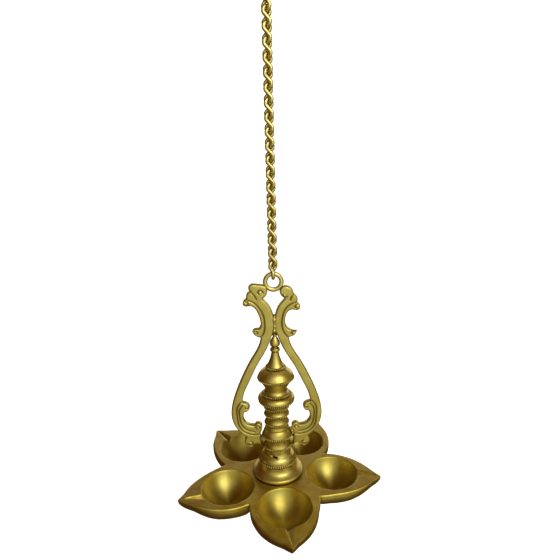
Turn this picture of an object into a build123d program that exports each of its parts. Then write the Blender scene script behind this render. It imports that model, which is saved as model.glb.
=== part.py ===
"""Five-bowl hanging brass oil lamp on a twisted-link chain.

The lamp is a star-shaped dish of five pointed bowls, bolted under a turned column.  Two flat scroll
arms rise from the column's drum, meet above its finial and hold a ring.  A chain of twisted wire
links joins the ring to an S-hook.  Lengths are in millimetres.  The arms lie in the XZ plane.

Heights below are measured up from the dish's rim plane, the way a founder would measure the lamp on
a bench.  level() turns such a height into the frame's Z, whose zero is the point where the S-hook
bears on whatever it hangs from.
"""

import os
from math import asin, cos, degrees, radians, sin

from build123d import *

# Dish
TIP_RADIUS = 100.0  # centre of the lamp to each petal's point
BOWL_CIRCLE = 52.8  # centre of the lamp to each bowl's centre
BOWL_RADIUS = 25.0
BOWL_DEPTH = 19.0
# Each petal's bearing in degrees from +X, and how far its tip leans sideways: hand-cut, so uneven
PETALS = [(-84.7, 1.2), (-7.9, -0.6), (62.2, 0.0), (132.4, 1.2), (206.0, -5.4)]
RIM_THICKNESS = 5.0
HULL_DEPTH = 22.5
PETAL_SIDE = [(40.0, 32.6), (51.0, 31.5), (60.0, 29.7), (73.0, 24.6), (84.5, 16.2), (93.0, 6.6)]
HULL_LEVELS = [(RIM_THICKNESS, 0.98), (10.0, 0.92), (14.5, 0.81), (18.5, 0.64), (21.0, 0.44),
               (HULL_DEPTH, 0.24)]  # (depth under the rim plane, share of the outline)
PETAL_HEEL = 21.0  # how near the lamp's centre each petal's hull comes
HUB_RADIUS = 46.0  # flat plate that joins the petals
SPOUT_HALF_WIDTH = 9.0
SPOUT_DEPTH = 5.0
SPOUT_START = 74.0
SPOUT_END = 97.5
SPOUT_RISE = 0.2  # how far above the rim plane the crease's sides are drawn
SPOUT_TAPER = 0.06  # share of its width and depth that the crease keeps at its end
OVERCUT = 1.0  # how far cutting tools run past the faces they cut

# Fixings under the dish
ROD_RADIUS = 2.0
ROD_CLEARANCE = 0.2
ROD_HOLE = ROD_RADIUS + ROD_CLEARANCE
THREAD_BITE = 0.04  # radial overlap that stands for the thread's grip
WASHER_RADIUS = 8.0
WASHER_THICKNESS = 1.2
NUT_ACROSS_FLATS = 7.0
NUT_THICKNESS = 3.2
ROD_PAST_NUT = 1.8
ROD_BOTTOM = -RIM_THICKNESS - WASHER_THICKNESS - NUT_THICKNESS - ROD_PAST_NUT
ROD_TOP = 134.5
ROD_CHAMFER = 0.4

# Column: heights of the seams between its turned sections
FOOT_TOP = 26.5
VASE_TOP = 49.8
SHAFT_TOP = 71.6
DISC_TOP = 88.4
BULB_TOP = 109.6
CONE_TOP = 129.8

# Arms
ARM_THICKNESS = 7.0
EYE_RISE = 0.8  # how far the scrolls' eyes stand out of the faces
TENON_THICKNESS = 4.6
TENON_LOW = 29.6
TENON_HIGH = 38.6
TENON_ROOT = 9.0  # how near the axis each tenon reaches
TENON_END = 15.9  # how far from the axis it starts, inside the foot scroll
MORTISE_REACH = 10.0  # from the tenon's root out past the drum's side
FIT = 0.05  # gap left for the braze between parts that touch

# Ring
RING_HEIGHT = 192.3
RING_RADIUS = 7.2
RING_WIRE = 2.0

# Chain
LINKS = 20
LINK_WIRE = 1.6
LINK_HEIGHT = 14.48  # between the wire's centres at the two ends
LINK_END = 3.55  # half the width of each end, at the wire's centre
LINK_LEG = 4.5  # from an end's crown down to where its legs turn into the twist
LINK_WAIST = 2.3  # how far each strand stands from the link's axis, half way down
TOP_BEARING = 225.0  # degrees from +X at which the front strand leaves a link's top end
LOW_BEARING = 315.0  # and at which it meets the lower end, a quarter turn on
RING_LINK_END = 3.8  # the bottom link's lower end is opened out for the ring
RING_LINK_LEG = 5.65
STRAND_BEND = 2.0
WAIST_BEND = 3.0
ALMOST = 0.98  # share of a full half-circle that each end's two bends take
LINK_GAP = 0.12
SEAM = 0.2  # open butt joint in each link
LINK_PITCH = LINK_HEIGHT - 2 * LINK_WIRE - LINK_GAP

# S-hook
HOOK_WIRE = 1.5
HOOK_EYE = 5.0
HOOK_BEND = 10.0
HOOK_SPREAD = 22.0  # between the centres of its two bends
HOOK_EYE_TIP = 67.0  # degrees above +X at which the eye's wire ends, close to the shank
HOOK_TIP = 200.0  # degrees round from +X at which the open bend ends
HOOK_TIP_ROUND = 0.9

# Heights that follow from the chain
LOWEST_LINK = RING_HEIGHT + RING_RADIUS - RING_WIRE - LINK_WIRE - LINK_GAP
TOP_LINK_TOP = LOWEST_LINK + (LINKS - 1) * LINK_PITCH + LINK_HEIGHT
HOOK_EYE_HEIGHT = TOP_LINK_TOP - LINK_WIRE - HOOK_WIRE - LINK_GAP + HOOK_EYE
HOOK_BEND_HEIGHT = HOOK_EYE_HEIGHT + HOOK_SPREAD
HANG_HEIGHT = HOOK_BEND_HEIGHT + HOOK_BEND - HOOK_WIRE


STANDING = (Align.CENTER, Align.CENTER, Align.MIN)


def level(height):
    """The frame's Z for a height above the dish's rim plane."""
    return height - HANG_HEIGHT


def lifted(points):
    """Profile points given as (across, height), moved to the frame's Z."""
    return [(across, level(height)) for across, height in points]


def draw_runs(runs):
    """Draws each run of (across, height) points: a line for two points, else a smooth curve."""
    for run in runs:
        if len(run) == 2:
            Line(*lifted(run))
        else:
            Spline(*lifted(run))


def save(part, name):
    part.label = name
    export_step(part, f"parts/{name}.step")


def turned(outline, bore, bottom, top):
    """A section of the column, turned about the axis and bored from bottom to top.

    outline is its outer surface from the bottom seam to the top one, as runs of (radius, height).
    """
    with BuildPart() as section:
        with BuildSketch(Plane.XZ):
            with BuildLine():
                draw_runs(outline)
                first = outline[0][0]
                last = outline[-1][-1]
                if last[0] > 0:
                    draw_runs([[last, (0, last[1])]])
                draw_runs([[(0, last[1]), (0, first[1])], [(0, first[1]), first]])
            make_face()
        revolve(axis=Axis.Z)
        with Locations((0, 0, level(bottom))):
            Cylinder(bore, top - bottom, align=STANDING, mode=Mode.SUBTRACT)
    return section


# Outer surfaces of the column's sections, as (radius, height) from the bottom up

FOOT = [
    [(23.2, 0.0), (24.0, 0.8), (24.2, 2.2), (23.6, 3.4), (22.6, 4.0)],
    [(22.6, 4.0), (20.2, 5.4), (18.0, 7.6), (17.2, 10.4), (17.0, 12.4)],
    [(17.0, 12.4), (17.5, 14.0), (17.0, 15.8)],
    [(17.0, 15.8), (16.8, 17.6), (15.8, 19.6), (14.0, 21.2), (12.9, 22.0)],
    [(12.9, 22.0), (12.3, 24.0), (12.4, 26.5)],
]
VASE = [
    [(12.4, 26.5), (12.9, 27.6), (13.0, 29.0), (12.6, 30.4), (12.2, 31.2)],
    [(12.2, 31.2), (11.7, 33.2), (11.9, 36.2), (13.0, 38.8)],
    [(13.0, 38.8), (13.9, 39.8), (13.9, 40.8), (13.5, 41.8)],
    [(13.5, 41.8), (13.1, 44.2), (11.8, 46.8), (10.9, 47.8)],
    [(10.9, 47.8), (11.4, 48.7), (11.2, 49.8)],
]
SHAFT = [
    [(11.2, 49.8), (10.8, 51.2), (11.0, 52.6), (11.3, 54.0), (11.0, 55.2), (10.2, 57.0), (10.1, 58.8)],
    [(10.1, 58.8), (10.4, 60.4), (11.3, 61.8), (11.5, 62.8), (11.1, 64.0), (10.3, 65.6), (10.2, 66.8)],
    [(10.2, 66.8), (10.8, 68.4), (11.7, 69.6), (11.7, 70.6), (11.2, 71.6)],
]
DISC = [
    [(11.2, 71.6), (12.4, 72.6), (14.6, 74.6), (15.8, 76.0)],
    [(15.8, 76.0), (16.9, 77.4), (17.3, 78.8), (16.5, 81.4), (13.4, 83.6)],
    [(13.4, 83.6), (12.7, 84.9), (10.6, 86.8), (10.0, 88.4)],
]
BULB = [
    [(10.0, 88.4), (10.4, 90.2), (12.4, 94.0), (15.0, 97.8), (16.3, 99.4)],
    [(16.3, 99.4), (17.0, 100.4), (16.4, 102.8), (14.2, 106.0), (11.4, 108.4), (9.6, 109.6)],
]
CONE = [
    [(8.8, 109.6), (8.8, 112.0)],
    [(8.8, 112.0), (7.6, 113.4), (5.9, 116.6), (4.3, 121.2), (3.5, 125.6)],
    [(3.5, 125.6), (3.7, 126.4), (4.4, 127.0), (4.6, 128.2), (4.3, 129.3), (3.2, 129.8)],
]
FINIAL = [
    [(3.1, 129.8), (3.0, 130.4), (3.3, 131.2)],
    [(3.3, 131.2), (4.5, 132.6), (4.7, 134.2), (4.0, 136.6), (3.0, 138.8), (1.9, 140.6), (1.7, 141.2)],
    [(1.7, 141.2), (2.3, 142.0), (2.2, 142.9), (1.5, 143.4)],
    [(1.5, 143.4), (1.1, 144.6), (0.4, 145.8)],
    [(0.4, 145.8), (0.0, 146.0)],
]

# Right arm's outline, as (distance from the axis, height).  The head's lobes differ from arm to arm.

HEAD_RIGHT = [
    [(10.0, 177.2), (7.2, 179.4), (5.4, 183.4), (7.0, 187.2), (11.5, 188.6)],
    [(11.5, 188.6), (15.6, 186.6), (17.9, 181.1)],
    [(17.9, 181.1), (20.6, 178.4), (21.3, 175.4), (20.1, 173.3)],
    [(20.1, 173.3), (23.0, 171.2), (23.0, 167.2), (20.2, 165.6)],
    [(20.2, 165.6), (15.0, 166.4), (11.0, 162.2), (9.9, 155.6), (11.1, 150.3), (14.2, 147.6)],
    [(14.2, 147.6), (17.6, 146.2), (20.4, 146.0)],
    [(20.4, 146.0), (18.0, 142.4), (12.6, 140.2)],
]
HEAD_LEFT = [
    [(10.0, 177.2), (6.6, 180.6), (5.6, 184.4), (6.6, 188.2), (10.0, 190.0)],
    [(10.0, 190.0), (15.6, 190.6), (20.6, 190.2), (22.3, 187.6), (21.0, 184.3)],
    [(21.0, 184.3), (23.6, 182.4), (24.6, 177.5)],
    [(24.6, 177.5), (27.2, 175.2), (27.4, 171.8), (24.7, 170.4)],
    [(24.7, 170.4), (19.7, 170.4), (15.2, 165.0), (12.7, 157.0), (12.9, 151.0), (14.4, 148.9)],
    [(14.4, 148.9), (19.0, 148.2), (20.2, 146.0)],
    [(20.2, 146.0), (17.6, 142.6), (12.6, 140.2)],
]
STEM_OUTSIDE = [
    [(12.6, 140.2), (14.9, 132.0), (21.6, 120.0), (31.0, 102.0), (39.6, 80.5), (42.8, 65.0),
     (40.2, 51.4), (34.2, 43.0), (29.6, 39.0)],
]
FOOT_SCROLL = [
    [(29.6, 39.0), (31.2, 34.4), (29.4, 29.6), (24.9, 27.4)],
    [(24.9, 27.4), (22.0, 30.6), (19.0, 31.4), (14.8, 28.4)],
    [(14.8, 28.4), (15.6, 32.0), (15.6, 43.0)],
    [(15.6, 43.0), (14.2, 47.0), (14.6, 51.6), (18.2, 53.4), (21.3, 51.0)],
    [(21.3, 51.0), (27.4, 52.4), (31.4, 58.0), (30.6, 65.2)],
    [(30.6, 65.2), (27.0, 66.4), (25.2, 69.8), (27.2, 74.0), (32.0, 75.6)],
]
STEM_INSIDE = [
    [(32.0, 75.6), (30.2, 84.0), (25.0, 96.0), (16.6, 113.4), (9.8, 125.0), (5.6, 133.6),
     (3.0, 140.6), (FIT, 147.0)],
    [(FIT, 147.0), (FIT, 157.5)],
    [(FIT, 157.5), (1.6, 164.6), (4.2, 170.4), (10.0, 177.2)],
]

# Eyes of the scrolls, small bosses on both faces: (distance from the axis, height, radius)
EYES_RIGHT = [(9.5, 180.2, 1.1), (20.6, 169.2, 1.2), (17.0, 144.9, 1.0)]
EYES_LEFT = [(12.4, 183.0, 1.2), (24.9, 172.6, 1.2), (17.4, 145.7, 1.0)]
EYES_BOTH = [(18.0, 48.6, 1.2), (25.6, 32.6, 1.5), (28.0, 70.8, 1.0)]


def arm(name, head, eyes, side):
    """One scroll arm.  side is 1 for the arm at +X and -1 for the one at -X."""
    with BuildPart() as casting:
        with BuildSketch(Plane.XZ):
            with BuildLine():
                draw_runs(head + STEM_OUTSIDE + FOOT_SCROLL + STEM_INSIDE)
            make_face()
        extrude(amount=ARM_THICKNESS / 2, both=True)
        tenon_middle = (TENON_LOW + TENON_HIGH) / 2
        with Locations((TENON_ROOT, 0, level(tenon_middle))):
            Box(TENON_END - TENON_ROOT, TENON_THICKNESS, TENON_HIGH - TENON_LOW,
                align=(Align.MIN, Align.CENTER, Align.CENTER))
        for face in (-1, 1):
            for across, height, radius in eyes + EYES_BOTH:
                with Locations((across, face * (ARM_THICKNESS / 2 + EYE_RISE - radius), level(height))):
                    Sphere(radius)
        with BuildSketch(Plane.XY.offset(level(RING_HEIGHT))):
            with Locations((RING_RADIUS, 0)):
                Circle(RING_WIRE + FIT)
        revolve(axis=Axis((0, 0, level(RING_HEIGHT)), (0, 1, 0)), mode=Mode.SUBTRACT)
        if side < 0:
            mirror(about=Plane.YZ, mode=Mode.REPLACE)
    save(casting.part, name)


def around(bearing, radius, height):
    """A point on a circle about the chain's axis, its bearing in degrees from +X."""
    return Vector(radius * cos(radians(bearing)), radius * sin(radians(bearing)), level(height))


def twisted_link(name, bottom, top_bearing, low_bearing, lower_end, lower_leg):
    """One link: a wire loop whose front strand runs from top_bearing round to low_bearing.

    The wire runs down from the seam, under the lower end, up the front strand, over the top end and
    back down to the seam.  Each end has two upright legs, and the strands between them close in on
    the link's axis at the waist.
    """
    top = bottom + LINK_HEIGHT
    waist = bottom + LINK_HEIGHT / 2
    middle = (top_bearing + low_bearing) / 2
    corners = [
        around(low_bearing + 180, lower_end, bottom + lower_leg),
        around(low_bearing + 180, lower_end, bottom),
        around(low_bearing, lower_end, bottom),
        around(low_bearing, lower_end, bottom + lower_leg),
        around(middle, LINK_WAIST, waist),
        around(top_bearing, LINK_END, top - LINK_LEG),
        around(top_bearing, LINK_END, top),
        around(top_bearing + 180, LINK_END, top),
        around(top_bearing + 180, LINK_END, top - LINK_LEG),
    ]
    low_bend = lower_end * ALMOST
    top_bend = LINK_END * ALMOST
    bends = (STRAND_BEND, low_bend, low_bend, STRAND_BEND, WAIST_BEND,
             STRAND_BEND, top_bend, top_bend, STRAND_BEND)
    seam = around(middle + 180, LINK_WAIST, waist)
    start = seam + (corners[0] - seam).normalized() * (SEAM / 2)
    finish = seam + (corners[-1] - seam).normalized() * (SEAM / 2)
    with BuildPart() as link:
        with BuildLine() as path:
            FilletPolyline(start, *corners, finish, radius=bends)
        with BuildSketch(Plane(origin=start, z_dir=corners[0] - start)):
            Circle(LINK_WIRE)
        sweep(path=path.line)
    save(link.part, name)


os.makedirs("parts", exist_ok=True)

# S-hook, in the XZ plane: a closed eye below and an open bend above, joined by a slanting shank

shank_tilt = degrees(asin((HOOK_EYE + HOOK_BEND) / HOOK_SPREAD))
with BuildPart() as s_hook:
    with BuildLine(Plane.XZ) as hook_path:
        eye = CenterArc((0, level(HOOK_EYE_HEIGHT)), HOOK_EYE, 180 - shank_tilt,
                        HOOK_EYE_TIP + 180 + shank_tilt)
        bend = CenterArc((0, level(HOOK_BEND_HEIGHT)), HOOK_BEND, -shank_tilt,
                         HOOK_TIP + shank_tilt)
        Line(eye @ 0, bend @ 0)
    with BuildSketch(Plane(origin=bend @ 1, z_dir=bend % 1)):
        Circle(HOOK_WIRE)
    sweep(path=hook_path.line)
    fillet(s_hook.faces().filter_by(GeomType.PLANE).edges(), HOOK_TIP_ROUND)
save(s_hook.part, "top_hook")

# Chain, numbered from the hook down

for number in range(1, LINKS + 1):
    holds_hook = number == 1
    holds_ring = number == LINKS
    twisted_link(
        f"chain_link_{number:02d}",
        bottom=LOWEST_LINK + (LINKS - number) * LINK_PITCH,
        top_bearing=270 if holds_hook else TOP_BEARING,
        low_bearing=270 if holds_ring else LOW_BEARING,
        lower_end=RING_LINK_END if holds_ring else LINK_END,
        lower_leg=RING_LINK_LEG if holds_ring else LINK_LEG,
    )

# Ring, in the XZ plane

with BuildPart() as ring:
    with BuildSketch(Plane.XY.offset(level(RING_HEIGHT))):
        with Locations((RING_RADIUS, 0)):
            Circle(RING_WIRE)
    revolve(axis=Axis((0, 0, level(RING_HEIGHT)), (0, 1, 0)))
save(ring.part, "suspension_ring")

# Arms

arm("right_arm", HEAD_RIGHT, EYES_RIGHT, 1)
arm("left_arm", HEAD_LEFT, EYES_LEFT, -1)

# Column, from the dish up.  Each section has a clearance bore for the tie rod.

save(turned(FOOT, ROD_HOLE, -OVERCUT, FOOT_TOP + OVERCUT).part, "bell_foot")

with BuildPart() as drum:
    add(turned(VASE, ROD_HOLE, FOOT_TOP - OVERCUT, VASE_TOP + OVERCUT).part)
    with Locations((0, 0, level((TENON_LOW + TENON_HIGH) / 2))):
        with GridLocations(2 * TENON_ROOT + MORTISE_REACH, 0, 2, 1):
            Box(MORTISE_REACH, TENON_THICKNESS + 2 * FIT, TENON_HIGH - TENON_LOW + 2 * FIT,
                mode=Mode.SUBTRACT)
save(drum.part, "arm_drum")

save(turned(SHAFT, ROD_HOLE, VASE_TOP - OVERCUT, SHAFT_TOP + OVERCUT).part, "ringed_shaft")
save(turned(DISC, ROD_HOLE, SHAFT_TOP - OVERCUT, DISC_TOP + OVERCUT).part, "disc_knop")
save(turned(BULB, ROD_HOLE, DISC_TOP - OVERCUT, BULB_TOP + OVERCUT).part, "upper_bulb")
save(turned(CONE, ROD_HOLE, BULB_TOP - OVERCUT, CONE_TOP + OVERCUT).part, "cone_cap")
save(turned(FINIAL, ROD_RADIUS - THREAD_BITE, CONE_TOP - OVERCUT, ROD_TOP + ROD_CLEARANCE).part, "finial")

# Tie rod, washer and nut

with BuildPart() as rod:
    with Locations((0, 0, level(ROD_BOTTOM))):
        Cylinder(ROD_RADIUS, ROD_TOP - ROD_BOTTOM, align=STANDING)
    chamfer(rod.edges().filter_by(GeomType.CIRCLE), ROD_CHAMFER)
save(rod.part, "tie_rod")

with BuildPart() as washer:
    with Locations((0, 0, level(-RIM_THICKNESS - WASHER_THICKNESS))):
        Cylinder(WASHER_RADIUS, WASHER_THICKNESS, align=STANDING)
        Cylinder(ROD_HOLE, WASHER_THICKNESS, align=STANDING, mode=Mode.SUBTRACT)
save(washer.part, "washer")

with BuildPart() as nut:
    with BuildSketch(Plane.XY.offset(level(-RIM_THICKNESS - WASHER_THICKNESS))):
        RegularPolygon(NUT_ACROSS_FLATS / 2, 6, major_radius=False)
        Circle(ROD_RADIUS - THREAD_BITE, mode=Mode.SUBTRACT)
    extrude(amount=-NUT_THICKNESS)
save(nut.part, "nut")

# Dish: a star plate with a boat-shaped hull under each petal, five bowls and five wick spouts


def petal_outline(scale, lean):
    """Draws a closed leaf in a petal's own plane, whose X runs from the bowl's centre to the tip.

    lean is how far the tip stands off that X; the sides share it by the square of their distance.
    """
    def leant(across, half):
        out = max(across - BOWL_CIRCLE, 0)
        shift = lean * (out / (TIP_RADIUS - BOWL_CIRCLE)) ** 2
        return ((across - BOWL_CIRCLE) * scale, (half + shift) * scale)

    left = [leant(across, half) for across, half in PETAL_SIDE]
    right = [leant(across, -half) for across, half in PETAL_SIDE]
    tip = leant(TIP_RADIUS, 0)
    Spline(*left)
    Line(left[-1], tip)
    Line(tip, right[-1])
    Spline(*reversed(right))
    ThreePointArc(right[0], leant(PETAL_HEEL, 0), left[0])


def petal_body(lean):
    """One petal along +X, its boat-shaped hull lofted from the rim down."""
    with BuildPart() as petal:
        for depth, scale in [(0, 1.0)] + HULL_LEVELS:
            with BuildSketch(Plane(origin=(BOWL_CIRCLE, 0, level(-depth)))):
                with BuildLine():
                    petal_outline(scale, lean)
                make_face()
        loft(ruled=True)
    return petal.part


def spout_cut(lean):
    """The V-shaped wick crease along +X, from the bowl's edge to the tip."""
    with BuildPart() as spout:
        for reach, share in [(SPOUT_START, 1.0), (SPOUT_END, SPOUT_TAPER)]:
            shift = lean * ((reach - BOWL_CIRCLE) / (TIP_RADIUS - BOWL_CIRCLE)) ** 2
            with BuildSketch(Plane(origin=(reach, shift, level(0)), x_dir=(0, 1, 0), z_dir=(1, 0, 0))):
                with BuildLine():
                    Polyline((-SPOUT_HALF_WIDTH * share, SPOUT_RISE), (0, -SPOUT_DEPTH * share),
                             (SPOUT_HALF_WIDTH * share, SPOUT_RISE), close=True)
                make_face()
        loft(ruled=True)
    return spout.part


# Each bowl is a cap of a sphere whose centre stands above the rim plane.
bowl_sphere = (BOWL_RADIUS**2 + BOWL_DEPTH**2) / (2 * BOWL_DEPTH)

with BuildPart() as dish:
    with Locations((0, 0, level(0))):
        Cylinder(HUB_RADIUS, RIM_THICKNESS, align=(Align.CENTER, Align.CENTER, Align.MAX))
    for bearing, lean in PETALS:
        add(petal_body(lean).rotate(Axis.Z, bearing))
    for bearing, _ in PETALS:
        with PolarLocations(BOWL_CIRCLE, 1, start_angle=bearing):
            with Locations((0, 0, level(bowl_sphere - BOWL_DEPTH))):
                Sphere(bowl_sphere, mode=Mode.SUBTRACT)
    for bearing, lean in PETALS:
        add(spout_cut(lean).rotate(Axis.Z, bearing), mode=Mode.SUBTRACT)
    with Locations((0, 0, level(0))):
        Cylinder(ROD_HOLE, 4 * RIM_THICKNESS, mode=Mode.SUBTRACT)
save(dish.part, "five_bowl_dish")
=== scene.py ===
"""Looks of the five-bowl hanging brass oil lamp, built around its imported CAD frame."""

import math

import bmesh
import bpy
import numpy as np
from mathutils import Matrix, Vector
from mathutils.geometry import delaunay_2d_cdt


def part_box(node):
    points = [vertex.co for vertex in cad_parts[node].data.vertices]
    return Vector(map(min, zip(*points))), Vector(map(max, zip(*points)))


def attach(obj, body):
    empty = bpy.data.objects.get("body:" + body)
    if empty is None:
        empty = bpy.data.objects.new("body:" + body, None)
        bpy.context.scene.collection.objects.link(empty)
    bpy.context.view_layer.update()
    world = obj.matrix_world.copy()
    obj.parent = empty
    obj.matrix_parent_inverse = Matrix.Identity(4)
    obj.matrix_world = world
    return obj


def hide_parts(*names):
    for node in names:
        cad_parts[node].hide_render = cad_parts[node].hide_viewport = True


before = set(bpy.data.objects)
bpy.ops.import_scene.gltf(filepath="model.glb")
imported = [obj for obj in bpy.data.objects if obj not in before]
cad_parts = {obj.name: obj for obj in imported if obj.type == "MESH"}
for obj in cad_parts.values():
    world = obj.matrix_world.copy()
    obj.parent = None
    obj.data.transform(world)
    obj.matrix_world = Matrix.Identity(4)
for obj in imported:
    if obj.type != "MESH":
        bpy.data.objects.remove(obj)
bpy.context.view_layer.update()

MM = 0.001
WELD = 0.00001  # metres: vertices closer than this are one
BODY = "lamp"
RIM_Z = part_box("five_bowl_dish")[1][2]  # the dish's rim plane, which heights in mm count from


# ---------------------------------------------------------------- general helpers


def smooth_run(points, step):
    """Points about step apart on a smooth curve through the given ones (a line for two points)."""
    p = np.array(points, float)
    chord = np.r_[0, np.cumsum(np.hypot(*np.diff(p, axis=0).T))]
    count = max(2, int(round(chord[-1] / step)) + 1)
    at = np.linspace(0, chord[-1], count)
    if len(p) == 2:
        return np.c_[np.interp(at, chord, p[:, 0]), np.interp(at, chord, p[:, 1])]
    gap = np.diff(chord)
    slope = np.diff(p, axis=0) / gap[:, None]
    system = np.zeros((len(p), len(p)))
    right = np.zeros_like(p)
    system[0, 0] = system[-1, -1] = 1
    for i in range(1, len(p) - 1):
        system[i, i - 1 : i + 2] = gap[i - 1], 2 * (gap[i - 1] + gap[i]), gap[i]
        right[i] = 6 * (slope[i] - slope[i - 1])
    bend = np.linalg.solve(system, right)
    i = np.clip(np.searchsorted(chord, at, "right") - 1, 0, len(gap) - 1)
    t = (at - chord[i])[:, None]
    h = gap[i][:, None]
    a, b = bend[i], bend[i + 1]
    return (
        p[i]
        + t * (slope[i] - h * (2 * a + b) / 6)
        + t**2 * a / 2
        + t**3 * (b - a) / (6 * h)
    )


def smooth_outline(runs, step):
    """All runs joined, each run's last point left to the next run."""
    return np.vstack([smooth_run(run, step)[:-1] for run in runs])


def distance_to_path(points, path, closed=False):
    """Distance from each point to a polyline."""
    a = path
    b = np.roll(path, -1, axis=0)
    if not closed:
        a, b = a[:-1], b[:-1]
    best = np.full(len(points), 1e9)
    for start, end in zip(a, b):
        along = end - start
        t = np.clip(((points - start) @ along) / max(along @ along, 1e-12), 0, 1)
        away = points - start - t[:, None] * along
        best = np.minimum(best, np.hypot(away[:, 0], away[:, 1]))
    return best


def inside(points, loop):
    """Which points lie inside a closed polygon."""
    x, y = points[:, 0], points[:, 1]
    found = np.zeros(len(points), bool)
    for (x0, y0), (x1, y1) in zip(loop, np.roll(loop, -1, axis=0)):
        if y0 == y1:
            continue
        crosses = (y0 > y) != (y1 > y)
        found ^= crosses & (x < (x1 - x0) * (y - y0) / (y1 - y0) + x0)
    return found


def rounding(depth_in, radius):
    """How far a rounded edge drops, depth_in being the distance inside the outline."""
    d = np.clip(radius - depth_in, 0, radius)
    return radius - np.sqrt(np.maximum(radius**2 - d**2, 0))


def soft_min(a, b, blend):
    """The smaller of two heights with a rounded meeting."""
    h = np.clip(0.5 + 0.5 * (b - a) / blend, 0, 1)
    return b * (1 - h) + a * h - blend * h * (1 - h)


def make_piece(name, verts_mm, faces, materials, replaces=(), shade_and_dirt=None, brush=None,
               kinds=None):
    """A mesh piece that rides with the lamp, from vertices in mm above the rim plane.

    grime is each vertex's darkening, mostly painted shade with some dirt, and brush a polishing
    direction for each vertex; kinds picks each face's material.
    """
    mesh = bpy.data.meshes.new(name)
    v = np.array(verts_mm, float) * MM
    v[:, 2] += RIM_Z
    mesh.from_pydata(v.tolist(), [], [tuple(int(i) for i in f) for f in faces])
    if shade_and_dirt is not None:
        layer = mesh.attributes.new("shade_and_dirt", "FLOAT", "POINT")
        layer.data.foreach_set("value", np.asarray(shade_and_dirt, np.float32))
    if brush is not None:
        layer = mesh.attributes.new("brush", "FLOAT_VECTOR", "POINT")
        layer.data.foreach_set("vector", np.asarray(brush, np.float32).ravel())
    for material in materials:
        mesh.materials.append(material)
    if kinds is not None:
        mesh.polygons.foreach_set("material_index", np.asarray(kinds, np.int32))
    work = bmesh.new()
    work.from_mesh(mesh)
    bmesh.ops.remove_doubles(work, verts=work.verts, dist=WELD)
    bmesh.ops.recalc_face_normals(work, faces=work.faces)
    work.to_mesh(mesh)
    work.free()
    mesh.shade_smooth()
    obj = bpy.data.objects.new(name, mesh)
    bpy.context.scene.collection.objects.link(obj)
    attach(obj, BODY)
    for node in replaces:
        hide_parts(node)


# ---------------------------------------------------------------- materials

MOTTLE_SCALE = 90.0
GRAIN_SCALE = 1400.0
GRAIN_STRENGTH = 0.06
GRAIN_DEPTH = 0.3  # mm
# The dark brown that painted shade, and some dirt, mix the brass towards
SHADE_AND_DIRT_BROWN = (0.10, 0.042, 0.010)


def brass(name, base, dark, rough, cavity=2.5, darkening=0.85, anisotropy=0.0):
    """Aged brass: mottled colour, painted shade in the hollows, satin grain.

    base and dark are the two mottled tones, rough the range of roughness, cavity how far in mm a
    hollow looks for its walls, and soil the most that the painted shade darkens a hollow.
    """
    m = bpy.data.materials.new(name)
    m.use_nodes = True
    nt = m.node_tree
    nt.nodes.clear()
    link = nt.links.new

    def add(kind):
        return nt.nodes.new("ShaderNode" + kind)

    def remapped(source, low, high, to_low=0.0, to_high=1.0):
        node = add("MapRange")
        for place, value in enumerate((low, high, to_low, to_high), 1):
            node.inputs[place].default_value = value
        link(source, node.inputs[0])
        return node.outputs[0]

    def noise(scale, detail):
        node = add("TexNoise")
        node.inputs["Scale"].default_value = scale
        node.inputs["Detail"].default_value = detail
        link(coords.outputs["Object"], node.inputs["Vector"])
        return node.outputs[0]

    def mixed(share, first, second):
        node = add("Mix")
        node.data_type = "RGBA"
        link(share, node.inputs[0])
        for place, colour in ((6, first), (7, second)):
            if isinstance(colour, tuple):
                node.inputs[place].default_value = (*colour, 1)
            else:
                link(colour, node.inputs[place])
        return node.outputs[2]

    out, bsdf = add("OutputMaterial"), add("BsdfPrincipled")
    bsdf.inputs["Metallic"].default_value = 1.0
    link(bsdf.outputs[0], out.inputs[0])
    coords = add("TexCoord")
    tone = mixed(remapped(noise(MOTTLE_SCALE, 5.0), 0.38, 0.68), base, dark)
    # Painted shade: ambient occlusion darkens the hollows towards the dark brown
    hollow = add("AmbientOcclusion")
    hollow.samples = 8
    hollow.inputs["Distance"].default_value = cavity * MM
    shut = remapped(hollow.outputs["AO"], 0.92, 0.35, 0.0, darkening)
    # Each piece's per-vertex darkening, mostly painted shade with some dirt, darkens towards the
    # same brown
    layer = add("Attribute")
    layer.attribute_name = "shade_and_dirt"
    both = add("Math")
    both.operation = "MAXIMUM"
    link(shut, both.inputs[0])
    link(layer.outputs["Fac"], both.inputs[1])
    link(mixed(both.outputs[0], tone, SHADE_AND_DIRT_BROWN), bsdf.inputs["Base Color"])
    fine = noise(GRAIN_SCALE, 3.0)
    link(remapped(fine, 0.3, 0.7, *rough), bsdf.inputs["Roughness"])
    relief = add("Bump")
    relief.inputs["Strength"].default_value = GRAIN_STRENGTH
    relief.inputs["Distance"].default_value = GRAIN_DEPTH * MM
    link(fine, relief.inputs["Height"])
    link(relief.outputs[0], bsdf.inputs["Normal"])
    if anisotropy:
        bsdf.inputs["Anisotropic"].default_value = anisotropy
        brushed = add("Attribute")
        brushed.attribute_name = "brush"
        link(brushed.outputs["Vector"], bsdf.inputs["Tangent"])
    return m


def plain_white(name):
    """The room's paint, which gives its own light so that it stays an even white."""
    m = bpy.data.materials.new(name)
    m.use_nodes = True
    bsdf = m.node_tree.nodes["Principled BSDF"]
    bsdf.inputs["Base Color"].default_value = (0.9, 0.9, 0.9, 1)
    bsdf.inputs["Roughness"].default_value = 0.9
    bsdf.inputs["Specular IOR Level"].default_value = 0.0
    bsdf.inputs["Emission Color"].default_value = (1, 1, 1, 1)
    bsdf.inputs["Emission Strength"].default_value = 0.85
    return m


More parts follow.
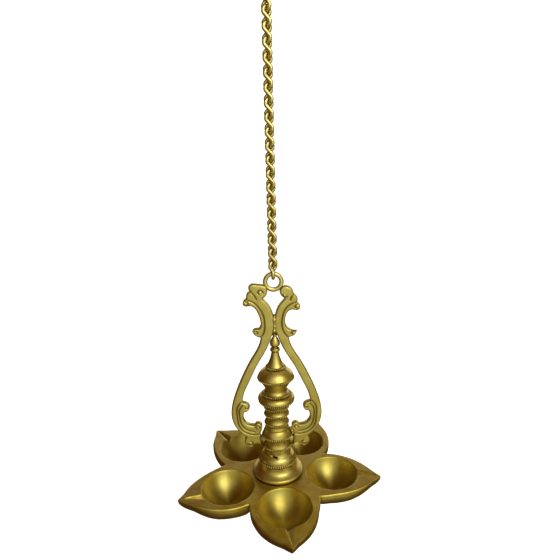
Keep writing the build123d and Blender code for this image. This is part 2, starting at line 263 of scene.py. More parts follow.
chain_brass = brass("chain_brass", (0.70, 0.61, 0.25), (0.60, 0.49, 0.16), (0.36, 0.48),
                    cavity=1.5, darkening=0.5)
arm_brass = brass("arm_brass", (0.58, 0.50, 0.155), (0.49, 0.39, 0.09), (0.40, 0.52))
column_brass = brass("column_brass", (0.61, 0.51, 0.16), (0.50, 0.38, 0.085), (0.34, 0.46))
dish_brass = brass("dish_brass", (0.56, 0.45, 0.10), (0.46, 0.32, 0.045), (0.40, 0.52))
bowl_brass = brass("bowl_brass", (0.60, 0.51, 0.14), (0.50, 0.38, 0.06), (0.38, 0.48),
                   anisotropy=0.55)
fixing_brass = brass("fixing_brass", (0.55, 0.45, 0.16), (0.42, 0.32, 0.09), (0.34, 0.48))

# ---------------------------------------------------------------- dish

# Each petal's bearing in degrees and how far its tip leans aside in mm
PETALS = [(-84.7, 1.2), (-7.9, -0.6), (62.2, 0.0), (132.4, 1.2), (206.0, -5.4)]
SHARE = 360 / len(PETALS)
WEDGE = math.tan(math.pi / len(PETALS))  # half width over distance of a petal's share of the dish
BLEND_FROM = 26.0  # degrees off a petal's middle where its uneven spacing starts to be made up
TIP_RADIUS = 100.0
BOWL_CIRCLE = 52.8
BOWL_RADIUS = 25.0
BOWL_DEPTH = 19.0
BOWL_FACES = 23  # rings of faces that have the bowl's brushed finish
SPHERE = (BOWL_RADIUS**2 + BOWL_DEPTH**2) / (2 * BOWL_DEPTH)  # radius of the bowl's round
STEEPEST = SPHERE - 0.4  # beyond it the bowl's wall only has to stay above the rim
RIM_THICKNESS = 5.0
TIP_THICKNESS = 1.8
THIN_FROM = 70.0  # from the lamp's axis, where the rim starts to thin
THIN_OVER = 30.0
HULL_DEPTH = 22.5
HULL_FULLNESS = 0.55
HEEL_REACH = 31.8  # from the bowl's middle to the hull's edge on the axis side
PETAL_SIDE = [(40.0, 32.6), (51.0, 31.5), (60.0, 29.7), (73.0, 24.6), (84.5, 16.2), (93.0, 6.6)]
LIP = 0.9  # how widely a wall and the rim blend
EDGE_ROUND = 1.6
UNDERSIDE_ROUND = 0.5  # the lower edge's radius as a share of the upper one's
SPOUT_START = 74.0
SPOUT_END = 97.0
SPOUT_DEPTH = 4.4
SPOUT_LEFT = 6.6  # half widths of the crease at its start: one side slopes, the other is steep
SPOUT_RIGHT = 2.4
SPOUT_INNER = 15.0  # no crease nearer to the bowl's middle than this
CREASE_ROUND = 0.25
SOOT_AND_SHADE = [0.9, 0.4, 0.3, 0.35, 0.6]  # how dark each bowl's wall under its spout is painted: wick soot and painted shade
SOOT_AND_SHADE_PLACE = (12.0, 4.0)  # from the bowl's middle
SOOT_AND_SHADE_SPREAD = 13.0
# How much darker a bowl's wall is painted towards its bottom
BOWL_DARKER_DOWN = 0.3
# Painted shade over the dish's underside
HULL_SHADE = 0.45
# A light painted shade on the rim's side face
RIM_SIDE_SHADE = 0.15


def petal_edge():
    """The petal's outline from tip to notch, as (distance from the lamp's axis, half width)."""
    curve = smooth_run(PETAL_SIDE, 0.5)[::-1]
    blunt = [(TIP_RADIUS - 0.5, 0.0), (TIP_RADIUS - 1.0, 0.9)]
    point = smooth_run([(TIP_RADIUS - 2.0, 1.9), PETAL_SIDE[-1]], 0.5)[:-1]
    curve = np.vstack([blunt, point, curve])
    return curve[curve[:, 1] <= curve[:, 0] * WEDGE]


def settled(across, sideways, index):
    """Takes points in one petal's own frame to their places on the uneven dish."""
    bearing, lean = PETALS[index]
    before = PETALS[index - 1][0]
    after = PETALS[(index + 1) % len(PETALS)][0]
    out = np.maximum(across - BOWL_CIRCLE, 0) / (TIP_RADIUS - BOWL_CIRCLE)
    from_bowl = np.hypot(across - BOWL_CIRCLE, sideways)
    sideways = sideways + lean * out**2 * np.clip((from_bowl - BOWL_RADIUS - 1.5) / 8, 0, 1)
    angle = np.degrees(np.arctan2(sideways, across))
    radius = np.hypot(across, sideways)
    edge_up = ((after - bearing) % 360 - SHARE) / 2
    edge_down = ((before - bearing) % 360 - (360 - SHARE)) / 2
    near = np.clip((np.abs(angle) - BLEND_FROM) / (SHARE / 2 - BLEND_FROM), 0, 1)
    near = near**2 * (3 - 2 * near)
    angle = np.radians(bearing + angle + near * np.where(angle > 0, edge_up, edge_down))
    return np.c_[radius * np.cos(angle), radius * np.sin(angle)]


def star_outline(edge):
    """The even star's whole outline, from one petal's."""
    outline = []
    for k in range(len(PETALS)):
        turn = math.radians(SHARE * k)
        side = np.vstack([edge[::-1] * (1, -1), edge[1:]])
        c, s = math.cos(turn), math.sin(turn)
        outline.append(np.c_[side[:, 0] * c - side[:, 1] * s, side[:, 0] * s + side[:, 1] * c])
    return np.vstack(outline)


def petal_rays(edge):
    """Directions from the middle of a bowl, and how far the petal and its hull reach along each.

    The last array says which of them end on the star's outline, not beside the next petal.
    """
    angles = np.arctan2(edge[:, 1], edge[:, 0] - BOWL_CIRCLE)
    reaches = np.hypot(edge[:, 1], edge[:, 0] - BOWL_CIRCLE)
    notch = angles[-1]
    share = np.linspace(0, 1, 60)
    front = notch * (0.35 * share + 0.65 * share**2)
    back = np.linspace(notch, math.pi, 30)[1:]
    half = np.r_[front, back]
    phi = np.r_[-half[:0:-1], half]
    size = np.abs(phi)
    on_edge = size <= notch + 1e-9
    limit = np.where(
        on_edge,
        np.interp(size, angles, reaches),
        BOWL_CIRCLE * WEDGE / np.maximum(np.sin(size) - WEDGE * np.cos(size), 1e-6),
    )
    hull = np.where(on_edge, limit, np.interp(size, [notch, math.pi], [reaches[-1], HEEL_REACH]))
    return np.c_[np.cos(phi), np.sin(phi)], limit, hull, on_edge


def thickness(across):
    """The rim's thickness, which falls towards a petal's tip."""
    thinned = np.clip((across - THIN_FROM) / THIN_OVER, 0, 1) ** 1.3
    return RIM_THICKNESS - (RIM_THICKNESS - TIP_THICKNESS) * thinned


def edge_round(across):
    """The radius of the upper edge, less where the rim is thin."""
    return np.minimum(EDGE_ROUND, thickness(across) * 0.42)


def top_height(local, rho):
    """Height of the upper face before its edge is rounded.

    rho is each point's distance from the middle of the bowl.
    """
    across, sideways = local.T
    taper = np.clip((SPOUT_END - across) / (SPOUT_END - SPOUT_START), 0, 1.1)
    reach = np.where(sideways > 0, SPOUT_LEFT, SPOUT_RIGHT) * taper + 0.01
    fold = np.sqrt(sideways**2 + CREASE_ROUND**2) - CREASE_ROUND
    crease = SPOUT_DEPTH * taper * np.clip(1 - fold / reach, 0, 1)
    crease = np.where(across > BOWL_CIRCLE + SPOUT_INNER, crease, 0)
    wall = np.where(
        rho < STEEPEST,
        SPHERE - BOWL_DEPTH - np.sqrt(np.maximum(SPHERE**2 - np.minimum(rho, STEEPEST) ** 2, 0)),
        3.0 + (rho - SPHERE) * 6,
    )
    return soft_min(-crease, wall, LIP)


def build_dish():
    """The star dish, petal by petal, each a grid of rings round the middle of its bowl."""
    edge = petal_edge()
    outline = star_outline(edge)
    direction, limit, hull, on_edge = petal_rays(edge)
    wide = len(direction)
    bowl_rings = np.r_[np.linspace(0, 0.84, 15) * BOWL_RADIUS, np.arange(21.6, 28.01, 0.4)]
    flat_rings = np.linspace(0, 1, 22)[1:] ** 0.8
    verts, faces, shade_and_dirt, brush, kinds = [], [], [], [], []

    def add_grid(rings, heights, darkening, index, columns, brushed_rings=0):
        """One ring of vertices per entry, and the faces between them."""
        start = sum(len(v) for v in verts)
        for local, height, darkness in zip(rings, heights, darkening):
            here = settled(local[:, 0], local[:, 1], index)
            ahead = settled(*(local + 0.02 * (local - (BOWL_CIRCLE, 0)) + 1e-4).T, index) - here
            ahead /= np.maximum(np.hypot(*ahead.T)[:, None], 1e-9)
            verts.append(np.c_[here, height])
            brush.append(np.c_[ahead, np.zeros(len(here))])
            shade_and_dirt.append(np.broadcast_to(darkness, len(here)))
        for r in range(len(rings) - 1):
            for a in range(columns - 1):
                i = start + r * columns + a
                faces.append((i, i + 1, i + columns + 1, i + columns))
                kinds.append(int(r < brushed_rings))

    for index in range(len(PETALS)):
        rings, heights, darkening = [], [], []
        radii = [np.full(wide, r) for r in bowl_rings]
        radii += [bowl_rings[-1] + (limit - bowl_rings[-1]) * s for s in flat_rings]
        for rho in radii:
            local = direction * rho[:, None] + (BOWL_CIRCLE, 0)
            near_edge = distance_to_path(local, outline, closed=True)
            height = top_height(local, rho) - rounding(near_edge, edge_round(local[:, 0]))
            rings.append(local)
            heights.append(height)
            # Painted darkening of the bowl: soot and painted shade under the spout, and darker
            # towards the bottom
            from_wick = local - (BOWL_CIRCLE, 0) - SOOT_AND_SHADE_PLACE
            far = np.hypot(*from_wick.T) / SOOT_AND_SHADE_SPREAD
            soot_and_shade = SOOT_AND_SHADE[index] * np.exp(-(far**2)) * np.clip(-height / 3, 0, 1)
            darkening.append(np.maximum(soot_and_shade, BOWL_DARKER_DOWN * np.clip(-height / BOWL_DEPTH, 0, 1)))
        add_grid(rings, heights, darkening, index, wide, BOWL_FACES)

        rings, heights, darkening = [], [], []
        shell = np.minimum(hull, limit)
        radii = [shell * (1 - (1 - s) ** 1.7) for s in np.linspace(0, 1, 40)]
        radii += [shell + (limit - shell) * s for s in (0.1, 0.3, 0.6, 1)]
        for rho in radii:
            local = direction * rho[:, None] + (BOWL_CIRCLE, 0)
            near_edge = distance_to_path(local, outline, closed=True)
            q = np.clip(rho / hull, 0, 1)
            depth = (HULL_DEPTH - RIM_THICKNESS) * (1 - q**2) ** HULL_FULLNESS
            depth += thickness(local[:, 0])
            rings.append(local)
            heights.append(-depth + rounding(near_edge, edge_round(local[:, 0]) * UNDERSIDE_ROUND))
            # The underside is darkened evenly: painted shade
            darkening.append(HULL_SHADE)
        add_grid(rings, heights, darkening, index, wide)

        rim = on_edge.nonzero()[0]
        local = direction[rim] * limit[rim, None] + (BOWL_CIRCLE, 0)
        upper = -edge_round(local[:, 0])
        lower = -thickness(local[:, 0]) + edge_round(local[:, 0]) * UNDERSIDE_ROUND
        heights = [upper + (lower - upper) * s for s in (0, 0.5, 1)]
        # The rim's side face gets a light painted shade
        add_grid([local] * 3, heights, [RIM_SIDE_SHADE] * 3, index, len(rim))
    make_piece("dish_casting", np.vstack(verts), faces, [dish_brass, bowl_brass],
               ["five_bowl_dish"], np.concatenate(shade_and_dirt), np.vstack(brush), kinds)


build_dish()

# ---------------------------------------------------------------- arms

ARM_THICKNESS = 7.0
ARM_ROUND = 1.7
ARM_ROWS = (0.2, 0.5, 0.95, ARM_ROUND)  # mesh rows along the rounded edge, in from the outline
ARM_GRID = 0.55
FIT = 0.05  # half the gap between the two arms' heads

# Outlines of one arm, as runs of (distance from the lamp's axis, height)
HEAD_RIGHT = [
    [(10.0, 177.2), (7.2, 179.4), (5.4, 183.4), (7.0, 187.2), (11.5, 188.6)],
    [(11.5, 188.6), (15.6, 186.6), (17.9, 181.1)],
    [(17.9, 181.1), (20.6, 178.4), (21.3, 175.4), (20.1, 173.3)],
    [(20.1, 173.3), (23.0, 171.2), (23.0, 167.2), (20.2, 165.6)],
    [(20.2, 165.6), (15.0, 166.4), (11.0, 162.2), (9.9, 155.6), (11.1, 150.3), (14.2, 147.6)],
    [(14.2, 147.6), (17.6, 146.2), (20.4, 146.0)],
    [(20.4, 146.0), (18.0, 142.4), (12.6, 140.2)],
]
HEAD_LEFT = [
    [(10.0, 177.2), (6.6, 180.6), (5.6, 184.4), (6.6, 188.2), (10.0, 190.0)],
    [(10.0, 190.0), (15.6, 190.6), (20.6, 190.2), (22.3, 187.6), (21.0, 184.3)],
    [(21.0, 184.3), (23.6, 182.4), (24.6, 177.5)],
    [(24.6, 177.5), (27.2, 175.2), (27.4, 171.8), (24.7, 170.4)],
    [(24.7, 170.4), (19.7, 170.4), (15.2, 165.0), (12.7, 157.0), (12.9, 151.0), (14.4, 148.9)],
    [(14.4, 148.9), (19.0, 148.2), (20.2, 146.0)],
    [(20.2, 146.0), (17.6, 142.6), (12.6, 140.2)],
]
STEM_OUTSIDE = [
    [(12.6, 140.2), (14.9, 132.0), (21.6, 120.0), (31.0, 102.0), (39.6, 80.5), (42.8, 65.0),
     (40.2, 51.4), (34.2, 43.0), (29.6, 39.0)],
]
FOOT_SCROLL = [
    [(29.6, 39.0), (31.2, 34.4), (29.4, 29.6), (24.9, 27.4)],
    [(24.9, 27.4), (22.0, 30.6), (19.0, 31.4), (14.8, 28.4)],
    [(14.8, 28.4), (15.6, 32.0), (15.6, 43.0)],
    [(15.6, 43.0), (14.2, 47.0), (14.6, 51.6), (18.2, 53.4), (21.3, 51.0)],
    [(21.3, 51.0), (27.4, 52.4), (31.4, 58.0), (30.6, 65.2)],
    [(30.6, 65.2), (27.0, 66.4), (25.2, 69.8), (27.2, 74.0), (32.0, 75.6)],
]
STEM_INSIDE = [
    [(32.0, 75.6), (30.2, 84.0), (25.0, 96.0), (16.6, 113.4), (9.8, 125.0), (5.6, 133.6),
     (3.0, 140.6), (FIT, 147.0)],
    [(FIT, 147.0), (FIT, 157.5)],
    [(FIT, 157.5), (1.6, 164.6), (4.2, 170.4), (10.0, 177.2)],
]

# Lines cut into both faces
GROOVE_RIGHT = [(19.6, 173.4), (14.6, 171.6), (9.4, 166.4), (7.2, 159.4), (6.6, 152.6),
                (8.2, 145.8), (11.6, 140.6)]
GROOVE_LEFT = [(24.0, 176.4), (19.2, 174.6), (13.6, 169.0), (9.6, 160.6), (8.9, 151.6),
               (10.2, 144.6), (12.8, 141.0)]
CREASE_LEFT = [(22.3, 187.0), (20.4, 183.6), (17.4, 180.6), (15.6, 177.2)]
CREASE_RIGHT = [(18.4, 180.8), (15.8, 178.6), (14.6, 175.6)]
GROOVE_FOOT = [(33.4, 76.2), (36.9, 71.0), (37.4, 60.5), (36.2, 52.0), (32.8, 46.2), (28.4, 43.2),
               (22.0, 41.4), (17.0, 41.8)]
GROOVE_INNER = [(31.6, 73.4), (34.6, 69.4), (35.2, 60.5), (33.8, 53.4), (30.8, 48.6), (27.0, 46.0),
                (21.6, 44.6)]

# Volutes: (distance from the axis, height, radius of the eye, where the spiral starts and its turn
# in degrees).  Each spiral groove opens outwards round a raised eye.
VOLUTES_RIGHT = [
    (9.5, 180.2, 1.1, 150, 190),
    (20.6, 169.2, 1.1, 240, -170),
    (17.0, 144.9, 0.9, 60, 150),
]
VOLUTES_LEFT = [
    (12.4, 183.0, 1.2, -20, 200),
    (24.9, 172.6, 1.1, 240, -170),
    (17.4, 145.7, 0.9, 60, 150),
]
VOLUTES_FOOT = [
    (18.0, 48.6, 1.1, 200, -200),
    (25.6, 32.6, 1.3, 110, 230),
    (28.0, 70.8, 1.0, 330, -160),
]
EYE_PROUD = 0.75
GROOVE_WIDTH = 0.5
GROOVE_DEPTH = 0.95
# How dark the cut lines are painted: dirt in them and painted shade
GROOVE_DIRT_AND_SHADE = 0.9

# The stub of an arm inside the drum
TENON_REACH = (9.1, 16.6)
TENON_HALF = 2.3
TENON_HEIGHTS = (29.7, 38.5)
# The stub is painted darker: painted shade inside the drum
TENON_SHADE = 0.3

BRAZE_AROUND = 14
BRAZE_STEP = 0.35
BRAZE_LUMPS = (0.4, 1.6)  # range of a lump's radius over the seam's
BRAZE_SUNK = 1.0
HEAD_BRAZE = [
    (0.3, 142.8, 0.9), (-0.2, 147, 1.7), (0.2, 153, 1.4), (0, 158, 1.9), (0.1, 161.4, 0.8),
]


def spiral(across, height, radius, start, turn):
    """A volute's groove, from beside its eye outwards."""
    share = np.linspace(0, 1, 40)
    angle = np.radians(start + turn * share)
    reach = radius * (1.2 + 1.1 * share)
    return np.c_[across + reach * np.cos(angle), height + reach * np.sin(angle)]


def arm_points(loop):
    """Points inside an arm's outline: the outline, rows along its rounded edge, an even spread."""
    forward = np.roll(loop, -1, axis=0) - np.roll(loop, 1, axis=0)
    forward /= np.hypot(*forward.T)[:, None]
    after = np.roll(loop, -1, axis=0)
    area = 0.5 * np.sum(loop[:, 0] * after[:, 1] - after[:, 0] * loop[:, 1])
    inward = np.c_[-forward[:, 1], forward[:, 0]] * (1 if area > 0 else -1)
    points = [loop]
    for offset in ARM_ROWS:
        near = loop + inward * offset
        near = near[inside(near, loop)]
        points.append(near[distance_to_path(near, loop, closed=True) > offset * 0.9])
    low, high = loop.min(axis=0), loop.max(axis=0)
    spans = [np.arange(low[k], high[k], ARM_GRID) for k in (0, 1)]
    xs, ys = np.meshgrid(*spans)
    xs = xs + (np.arange(xs.shape[0]) % 2)[:, None] * ARM_GRID / 2
    spread = np.c_[xs.ravel(), ys.ravel()]
    spread = spread[inside(spread, loop)]
    spread = spread[distance_to_path(spread, loop, closed=True) > ARM_ROUND + 0.3]
    return np.vstack(points + [spread])


def build_arm(name, head, grooves, volutes, side):
    """One scroll arm: both faces from the same flat mesh, with rounded edges and cut lines."""
    loop = smooth_outline(head + STEM_OUTSIDE + FOOT_SCROLL + STEM_INSIDE, 0.5)
    points = arm_points(loop)
    rim = len(loop)
    edges = [(i, (i + 1) % rim) for i in range(rim)]
    out, _, tris, _, _, _ = delaunay_2d_cdt([Vector(p) for p in points], edges, [], 1, 1e-5)
    flat = np.array([tuple(p) for p in out])
    away = distance_to_path(flat, loop, closed=True)

    drop = rounding(away, ARM_ROUND)
    volutes = volutes + VOLUTES_FOOT
    lines = [smooth_run(path, 0.5) for path in grooves + [GROOVE_FOOT, GROOVE_INNER]]
    lines += [spiral(*volute) for volute in volutes]
    cut = np.zeros(len(flat))
    for line in lines:
        cut = np.maximum(cut, np.exp(-((distance_to_path(flat, line) / GROOVE_WIDTH) ** 2)))
    drop += GROOVE_DEPTH * cut * np.clip(away / 1.0, 0, 1)
    # The cut lines are painted dark: dirt and painted shade
    darkening = GROOVE_DIRT_AND_SHADE * cut
    for across, height, radius, _, _ in volutes:
        r = np.hypot(flat[:, 0] - across, flat[:, 1] - height)
        drop -= EYE_PROUD * np.exp(-((r / (0.72 * radius)) ** 4)) * np.clip(away / 1.0, 0, 1)
    depth = ARM_THICKNESS / 2 - drop
    depth[:rim] = ARM_THICKNESS / 2 - ARM_ROUND

    x = flat[:, 0] * side
    front = np.c_[x, -depth, flat[:, 1]]
    rear = np.c_[x, depth, flat[:, 1]]
    middle = np.c_[x[:rim], np.zeros(rim), flat[:rim, 1]]
    verts = np.vstack([front, rear, middle])
    count = len(flat)
    faces = [tuple(t) for t in tris] + [tuple(i + count for i in reversed(t)) for t in tris]
    for i in range(rim):
        j = (i + 1) % rim
        faces.append((i, j, 2 * count + j, 2 * count + i))
        faces.append((2 * count + i, 2 * count + j, count + j, count + i))
    tenon, tenon_faces = tenon_block(side)
    faces += [tuple(i + len(verts) for i in f) for f in tenon_faces]
    verts = np.vstack([verts, tenon])
    # The middle of the edge gets a light painted shade, and the stub inside the drum painted shade
    darkness = np.r_[darkening, darkening, np.full(rim, 0.1), np.full(len(tenon), TENON_SHADE)]
    make_piece(f"{name}_casting", verts, faces, [arm_brass], [name], darkness)


def tenon_block(side):
    """The stub that enters the drum, running back inside the foot of the arm."""
    x = np.array(TENON_REACH) * side
    corners = [(a, b, c) for a in x for b in (-TENON_HALF, TENON_HALF) for c in TENON_HEIGHTS]
    faces = [(0, 1, 3, 2), (4, 6, 7, 5), (0, 4, 5, 1), (2, 3, 7, 6), (0, 2, 6, 4), (1, 5, 7, 3)]
    return np.array(corners), faces


def build_braze(name, path, seed):
    """A lumpy seam of braze along a path of (x, y, height, radius) points."""
    random = np.random.default_rng(seed)
    around = BRAZE_AROUND
    at = np.array(path, float)
    length = np.r_[0, np.cumsum(np.linalg.norm(np.diff(at[:, :3], axis=0), axis=1))]
    steps = np.linspace(0, length[-1], max(8, int(length[-1] / BRAZE_STEP)))
    spine = np.c_[[np.interp(steps, length, at[:, k]) for k in range(4)]].T
    lumps = np.convolve(random.uniform(*BRAZE_LUMPS, len(spine) + 4), np.ones(5) / 5, "valid")
    ends = np.sqrt(np.clip(1 - np.linspace(-1, 1, len(spine)) ** 8, 0, 1))
    along = np.gradient(spine[:, :3], axis=0)
    along /= np.linalg.norm(along, axis=1)[:, None]
    side = np.cross(along, (0, 1, 0))
    side /= np.linalg.norm(side, axis=1)[:, None]
    other = np.cross(along, side)
    turn = np.linspace(0, 2 * math.pi, around, endpoint=False)
    verts, faces = [], []
    for k in range(1, len(spine) - 1):
        r = spine[k, 3] * lumps[k] * ends[k]
        ring = np.cos(turn)[:, None] * side[k] + np.sin(turn)[:, None] * other[k]
        verts.append(spine[k, :3] + r * ring)
    count = len(verts)
    for k in range(count - 1):
        low, high = k * around, (k + 1) * around
        for a in range(around):
            b = (a + 1) % around
            faces.append((low + a, low + b, high + b, high + a))
    verts = np.vstack(verts + [spine[:1, :3], spine[-1:, :3]])
    tail = count * around
    for a in range(around):
        b = (a + 1) % around
        faces.append((b, a, tail))
        faces.append((tail - around + a, tail - around + b, tail + 1))
    make_piece(name, verts, faces, [arm_brass])


build_arm("right_arm", HEAD_RIGHT, [GROOVE_RIGHT, CREASE_RIGHT], VOLUTES_RIGHT, 1)
build_arm("left_arm", HEAD_LEFT, [GROOVE_LEFT, CREASE_LEFT], VOLUTES_LEFT, -1)

seam = ARM_THICKNESS / 2 - BRAZE_SUNK
for where, y, seed in (("front", -seam, 5), ("back", seam, 4)):
    build_braze(f"head_braze_{where}", [(x, y, height, r) for x, height, r in HEAD_BRAZE], seed)
build_braze("ring_braze_left",
            [(-8.0, -0.6, 181.8, 0.8), (-9.6, 0.0, 186.4, 1.3), (-9.8, 0.4, 190.0, 0.8)], 3)
build_braze("ring_braze_right",
            [(7.4, 0.6, 181.6, 0.8), (9.2, 0.0, 185.6, 1.3), (9.9, -0.4, 188.6, 0.8)], 4)

# ---------------------------------------------------------------- column

# Outer surfaces as runs of (radius, height), from the bottom up
SECTIONS = {
    "bell_foot": [
        [(23.2, 0.0), (24.0, 0.8), (24.2, 2.2), (23.6, 3.4), (22.6, 4.0)],
        [(22.6, 4.0), (20.2, 5.4), (18.0, 7.6), (17.2, 10.4), (17.0, 12.4)],
        [(17.0, 12.4), (17.5, 14.0), (17.0, 15.8)],
        [(17.0, 15.8), (16.8, 17.6), (15.8, 19.6), (14.0, 21.2), (12.9, 22.0)],
        [(12.9, 22.0), (12.3, 24.0), (12.4, 26.5)],
    ],
    "arm_drum": [
        [(12.4, 26.5), (12.9, 27.6), (13.0, 29.0), (12.6, 30.4), (12.2, 31.2)],
        [(12.2, 31.2), (11.7, 33.2), (11.9, 36.2), (13.0, 38.8)],
        [(13.0, 38.8), (13.9, 39.8), (13.9, 40.8), (13.5, 41.8)],
        [(13.5, 41.8), (13.1, 44.2), (11.8, 46.8), (10.9, 47.8)],
        [(10.9, 47.8), (11.4, 48.7), (11.2, 49.8)],
    ],
    "ringed_shaft": [
        [(11.2, 49.8), (10.8, 51.2), (11.0, 52.6), (11.3, 54.0), (11.0, 55.2), (10.2, 57.0),
         (10.1, 58.8)],
        [(10.1, 58.8), (10.4, 60.4), (11.3, 61.8), (11.5, 62.8), (11.1, 64.0), (10.3, 65.6),
         (10.2, 66.8)],
        [(10.2, 66.8), (10.8, 68.4), (11.7, 69.6), (11.7, 70.6), (11.2, 71.6)],
    ],
    "disc_knop": [
        [(11.2, 71.6), (12.4, 72.6), (14.6, 74.6), (15.8, 76.0)],
        [(15.8, 76.0), (16.9, 77.4), (17.3, 78.8), (16.5, 81.4), (13.4, 83.6)],
        [(13.4, 83.6), (12.7, 84.9), (10.6, 86.8), (10.0, 88.4)],
    ],
    "upper_bulb": [
        [(10.0, 88.4), (10.4, 90.2), (12.4, 94.0), (15.0, 97.8), (16.3, 99.4)],
        [(16.3, 99.4), (17.0, 100.4), (16.4, 102.8), (14.2, 106.0), (11.4, 108.4), (9.6, 109.6)],
    ],
    "cone_cap": [
        [(8.5, 109.6), (8.8, 110.2)],
        [(8.8, 110.2), (8.8, 112.0)],
        [(8.8, 112.0), (7.6, 113.4), (5.9, 116.6), (4.3, 121.2), (3.5, 125.6)],
        [(3.5, 125.6), (3.7, 126.4), (4.4, 127.0), (4.6, 128.2), (4.3, 129.3), (3.2, 129.8)],
    ],
    "finial": [
        [(3.1, 129.8), (3.0, 130.4), (3.3, 131.2)],
        [(3.3, 131.2), (4.5, 132.6), (4.7, 134.2), (4.0, 136.6), (3.0, 138.8), (1.9, 140.6),
         (1.7, 141.2)],
        [(1.7, 141.2), (2.3, 142.0), (2.2, 142.9), (1.5, 143.4)],
        [(1.5, 143.4), (1.1, 144.6), (0.4, 145.8), (0.05, 146.0)],
    ],
}
ROD_HOLE = 2.2
# Painted shade inside the bore and on the end faces that meet the next piece
BORE_SHADE = 0.3
PROFILE_STEP = 0.22
BEADED_AROUND = 480
PLAIN_AROUND = 128

# Rows of beads round a section: (height, half the row's width, how many, radius to their crowns)
MILLED = {
    "bell_foot": [(14.0, 1.4, 50, 18.3)],
    "arm_drum": [(29.3, 1.0, 46, 13.7), (40.4, 1.05, 48, 14.8)],
    "ringed_shaft": [(54.0, 0.95, 42, 12.0), (62.8, 0.95, 42, 12.2), (70.2, 0.95, 42, 12.4)],
    "disc_knop": [(76.9, 1.0, 54, 16.9), (84.2, 0.95, 44, 13.6)],
    "upper_bulb": [(100.2, 1.0, 56, 17.5)],
    "cone_cap": [(111.0, 1.15, 34, 9.5)],
    "finial": [],
}
BEAD_PROUD = 1.15  # from the gap between two beads out to a crown

# A flaw in the casting low on the front of the column
FLAW_BEARING = math.radians(-105)
FLAW_HEIGHT = 22.6
FLAW_SLOPE = 0.25
FLAW_HALF = (3.0, 0.85)
FLAW_DEPTH = 1.6


def build_section(node):
    """One turned section of the column, with its rows of beads."""
    runs = SECTIONS[node]
    profile = np.vstack([smooth_outline(runs, PROFILE_STEP), [runs[-1][-1]]])
    around = BEADED_AROUND if MILLED[node] else PLAIN_AROUND
    turn = np.linspace(0, 2 * math.pi, around, endpoint=False)
    rows, darkening = [], []
    for radius, height in profile:
        r = np.full(around, radius)
        darkness = np.zeros(around)
        for centre, half, count, crown in MILLED[node]:
            off = abs(height - centre) / half
            if off < 1.5:
                band = float(np.clip((1.5 - off) / 0.5, 0, 1))
                bulge = math.sqrt(max(1 - off * off, 0))
                bead = bulge * np.abs(np.sin(turn * count / 2)) ** 0.9
                r = r * (1 - band) + (crown - BEAD_PROUD * (1 - bead)) * band
                # The gaps between beads are painted dark: dirt and painted shade
                darkness = np.maximum(darkness, band * np.clip(1.05 - 1.3 * bead, 0, 1))
        if node == "bell_foot":
            sideways = (turn - FLAW_BEARING + math.pi) % (2 * math.pi) - math.pi
            level = FLAW_HEIGHT - FLAW_SLOPE * sideways * radius
            flaw = np.exp(-((sideways * radius / FLAW_HALF[0]) ** 4)
                          - ((height - level) / FLAW_HALF[1]) ** 4)
            r -= FLAW_DEPTH * flaw
            # The flaw's pit is painted dark: painted shade
            darkness = np.maximum(darkness, np.clip(1.4 * flaw, 0, 1))
        rows.append(np.c_[r * np.cos(turn), r * np.sin(turn), np.full(around, height)])
        darkening.append(np.clip(darkness, 0, 1))
    bored = node != "finial"
    if bored:
        bore = ROD_HOLE * np.c_[np.cos(turn), np.sin(turn)]
        # The bore's rows get painted shade
        rows += [np.c_[bore, np.full(around, end[1])] for end in (profile[-1], profile[0])]
        darkening += [np.full(around, BORE_SHADE)] * 2
    faces = []
    count = len(rows)
    for r in range(count if bored else count - 1):
        low, high = r * around, ((r + 1) % count) * around
        for a in range(around):
            b = (a + 1) % around
            faces.append((low + a, low + b, high + b, high + a))
    if not bored:
        faces.append(tuple(range(around - 1, -1, -1)))
        faces.append(tuple(range((count - 1) * around, count * around)))
    make_piece(f"{node}_turning", np.vstack(rows), faces, [column_brass], [node],
               np.concatenate(darkening))


for node in SECTIONS:
    build_section(node)

# ---------------------------------------------------------------- CAD nodes that keep their shape

for node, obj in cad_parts.items():
    if node.startswith("chain_link") or node in ("suspension_ring", "top_hook"):
        finish = chain_brass
    elif node in ("tie_rod", "washer", "nut"):
        finish = fixing_brass
    else:
        continue
    for place in obj.material_slots:
        place.material = finish

# ---------------------------------------------------------------- studio

FLOOR_DROP = 0.32
WALL = 2.6
CORNER = 0.7
CORNER_STEPS = 16
ROOM_HEIGHT = 4.2
ROOM_SIDES = 96
WARM = (1, 0.98, 0.88)
FRONT = (0.28, -0.90, 0.16)  # where the sky is brightest
SKY = [  # (cosine of the angle from the front, colour)
    (-1, (0.085, 0.022, 0.002)),
    (-0.2, (0.10, 0.032, 0.004)),
    (0.35, (0.15, 0.08, 0.022)),
    (0.65, (0.60, 0.58, 0.39)),
    (1, (1.1, 1.11, 0.93)),
]


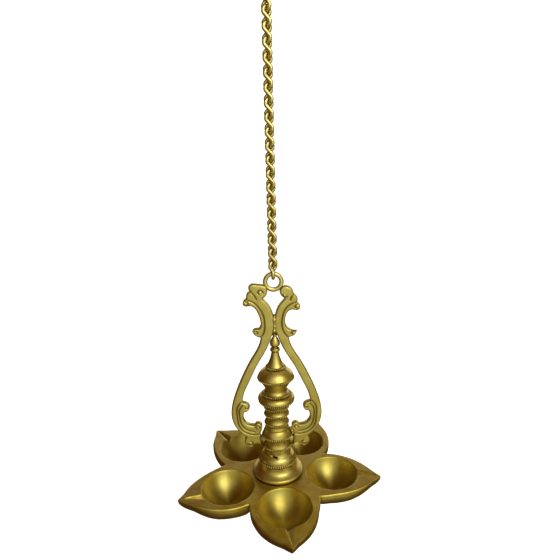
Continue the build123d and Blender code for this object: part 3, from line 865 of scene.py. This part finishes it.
def build_room():
    """A round white room that the camera sees, but that sheds no light on the lamp."""
    floor = RIM_Z - FLOOR_DROP
    ceiling = floor + ROOM_HEIGHT
    flat = WALL - CORNER
    bend = [math.pi / 2 * k / CORNER_STEPS for k in range(CORNER_STEPS + 1)]
    path = [(0.0, floor), (flat, floor)]
    path += [(flat + CORNER * math.sin(a), floor + CORNER - CORNER * math.cos(a)) for a in bend[1:]]
    path += [(flat + CORNER * math.cos(a), ceiling - CORNER + CORNER * math.sin(a))
             for a in bend[:-1]]
    path += [(flat, ceiling), (0.0, ceiling)]
    turn = np.linspace(0, 2 * math.pi, ROOM_SIDES, endpoint=False)
    verts = [(0.0, 0.0, floor)]
    verts += [(r * math.cos(t), r * math.sin(t), z) for r, z in path[1:-1] for t in turn]
    verts.append((0.0, 0.0, ceiling))
    faces = []
    last = len(path) - 3
    for a in range(ROOM_SIDES):
        b = (a + 1) % ROOM_SIDES
        faces.append((0, 1 + a, 1 + b))
        for r in range(last):
            low, high = 1 + r * ROOM_SIDES, 1 + (r + 1) * ROOM_SIDES
            faces.append((low + a, high + a, high + b, low + b))
        faces.append((1 + last * ROOM_SIDES + a, len(verts) - 1, 1 + last * ROOM_SIDES + b))
    mesh = bpy.data.meshes.new("floor")
    mesh.from_pydata(verts, [], faces)
    mesh.shade_smooth()
    mesh.materials.append(plain_white("floor_white"))
    obj = bpy.data.objects.new("floor", mesh)
    obj.visible_glossy = False
    obj.visible_diffuse = False
    obj.visible_shadow = False
    bpy.context.scene.collection.objects.link(obj)


def area_light(name, place, aim, size, size_y, power):
    """A warm rectangular light that faces a point."""
    data = bpy.data.lights.new(name, "AREA")
    data.energy = power
    data.color = WARM
    data.shape = "RECTANGLE"
    data.size = size
    data.size_y = size_y
    light = bpy.data.objects.new(name, data)
    light.location = place
    light.rotation_euler = (Vector(aim) - Vector(place)).to_track_quat("-Z", "Y").to_euler()
    bpy.context.scene.collection.objects.link(light)


def studio_sky(front, levels):
    """A world that brightens towards one direction."""
    world = bpy.data.worlds.new("studio")
    bpy.context.scene.world = world
    world.use_nodes = True
    nt = world.node_tree
    coords = nt.nodes.new("ShaderNodeTexCoord")
    facing = nt.nodes.new("ShaderNodeVectorMath")
    facing.operation = "DOT_PRODUCT"
    facing.inputs[1].default_value = Vector(front).normalized()
    spread = nt.nodes.new("ShaderNodeMapRange")
    spread.inputs[1].default_value = -1
    ramp = nt.nodes.new("ShaderNodeValToRGB")
    nt.links.new(coords.outputs["Generated"], facing.inputs[0])
    nt.links.new(facing.outputs["Value"], spread.inputs[0])
    nt.links.new(spread.outputs[0], ramp.inputs[0])
    nt.links.new(ramp.outputs[0], nt.nodes["Background"].inputs["Color"])
    stops = ramp.color_ramp.elements
    while len(stops) < len(levels):
        stops.new(0.5)
    for stop, (cosine, colour) in zip(stops, levels):
        stop.position = (cosine + 1) / 2
        stop.color = (*colour, 1)


build_room()
area_light("key", (0.42, -0.80, RIM_Z + 0.98), (0, 0, RIM_Z + 0.07), 0.75, 0.75, 7.5)
area_light("backdrop", (0.3, 1.35, RIM_Z + 0.34), (0, 0, RIM_Z), 2.4, 0.6, 7.5)
studio_sky(FRONT, SKY)

# ---------------------------------------------------------------- camera

CAMERA_BACK = 0.417  # metres from the lamp's axis
CAMERA_UP = 0.308  # above the rim plane
FOCAL_SHARE = 490 / 560  # focal length over the picture's width
SENSOR = 36
PITCH = math.radians(15.33)
YAW = math.radians(-1.15)
ROLL = math.radians(1.2)

camera_data = bpy.data.cameras.new("camera")
camera_data.sensor_width = SENSOR
camera_data.lens = SENSOR * FOCAL_SHARE
camera_data.clip_start = 0.01
camera = bpy.data.objects.new("camera", camera_data)
camera.location = (0, -CAMERA_BACK, RIM_Z + CAMERA_UP)
camera.rotation_mode = "XYZ"
camera.rotation_euler = (math.pi / 2 - PITCH, ROLL, YAW)
bpy.context.scene.collection.objects.link(camera)
bpy.context.scene.camera = camera
bpy.context.scene.view_settings.view_transform = "Standard"
bpy.context.scene.view_settings.look = "None"
